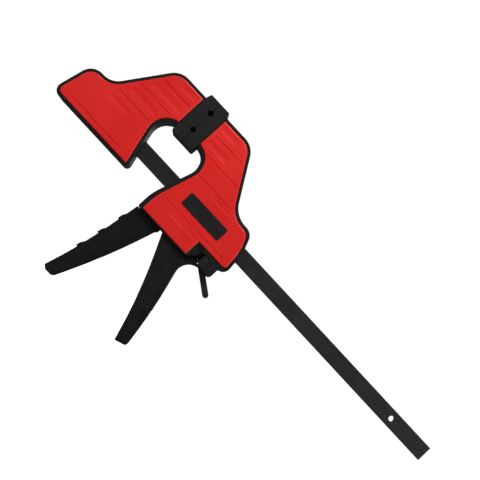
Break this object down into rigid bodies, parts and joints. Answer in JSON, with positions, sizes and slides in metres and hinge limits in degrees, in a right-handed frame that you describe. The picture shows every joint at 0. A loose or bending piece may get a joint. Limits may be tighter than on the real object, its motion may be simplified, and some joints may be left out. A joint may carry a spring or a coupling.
{
  "type": "one-handed bar clamp",
  "caption": "Trigger-driven F clamp: a fixed jaw on a flat steel bar and a sliding jaw with a pistol grip, trigger and release lever.",
  "frame": {"origin": "middle of the fixed jaw's clamping face, on the flat land between its two V grooves, 68 mm above the bar's axis", "axes": "+X along the bar from the fixed jaw to the bar's free end and out of the fixed jaw's clamping face, +Z from the bar to the jaw tips, front of the clamp towards -Y"},
  "size_m": [0.5804, 0.039, 0.2677],
  "materials": {
    "black_steel": "satin black coated steel",
    "black_nylon": "fine grained moulded nylon",
    "red_plastic": "satin moulded plastic",
    "pad_rubber": "matt soft rubber",
    "pin_steel": "turned",
    "screw_steel": "black oxide",
    "badge_plastic": "smooth, plain",
    "spring_steel": "drawn wire",
    "trigger_nylon": "fine grained moulded nylon",
    "plate_steel": "ground",
    "lever_nylon": "moulded nylon"
  },
  "bodies": {
    "bar_and_fixed_jaw": {"bar": "black_steel", "fixed_jaw_frame": "black_nylon", "fixed_jaw_front_panel": "red_plastic", "fixed_jaw_back_panel": "red_plastic", "fixed_jaw_pad": "pad_rubber", "bar_anchor_pins": "pin_steel", "fixed_jaw_screws": "screw_steel"},
    "moving_jaw": {"housing_front": "black_nylon", "housing_back": "black_nylon", "moving_jaw_front_panel": "red_plastic", "moving_jaw_back_panel": "red_plastic", "front_badge": "badge_plastic", "back_badge": "badge_plastic", "moving_jaw_pad": "pad_rubber", "housing_screws": "screw_steel", "trigger_pivot_pin": "pin_steel", "drive_spring": "spring_steel", "brake_spring": "spring_steel"},
    "squeeze_trigger": {"trigger": "trigger_nylon"},
    "drive_plates": {"front_drive_plate": "plate_steel", "rear_drive_plate": "plate_steel"},
    "brake": {"release_lever": "lever_nylon", "brake_plate": "plate_steel"}
  },
  "joints": [
    {"name": "jaw_slide", "type": "slide", "parent": "bar_and_fixed_jaw", "child": "moving_jaw", "axis": [1, 0, 0], "range_m": [0, 0.285]},
    {"name": "trigger_squeeze", "type": "hinge", "parent": "moving_jaw", "child": "squeeze_trigger", "pos_m": [0.046, 0, -0.048], "axis": [0, -1, 0], "range_deg": [0, 20], "stiffness_Nm_per_rad": 0.5, "springref_deg": -20.05},
    {"name": "drive_plates_slide", "type": "slide", "parent": "moving_jaw", "child": "drive_plates", "axis": [1, 0, 0], "range_m": [0, 0.012], "deforming": ["drive_spring"]},
    {"name": "release_press", "type": "hinge", "parent": "moving_jaw", "child": "brake", "pos_m": [0.1149, 0, -0.1026], "axis": [0, 1, 0], "range_deg": [0, 8], "stiffness_Nm_per_rad": 0.3, "springref_deg": -28.65, "deforming": ["brake_spring"]}
  ],
  "couplings": [
    {"joint": "drive_plates_slide", "follows": "trigger_squeeze", "m_per_rad": 0.034}
  ]
}
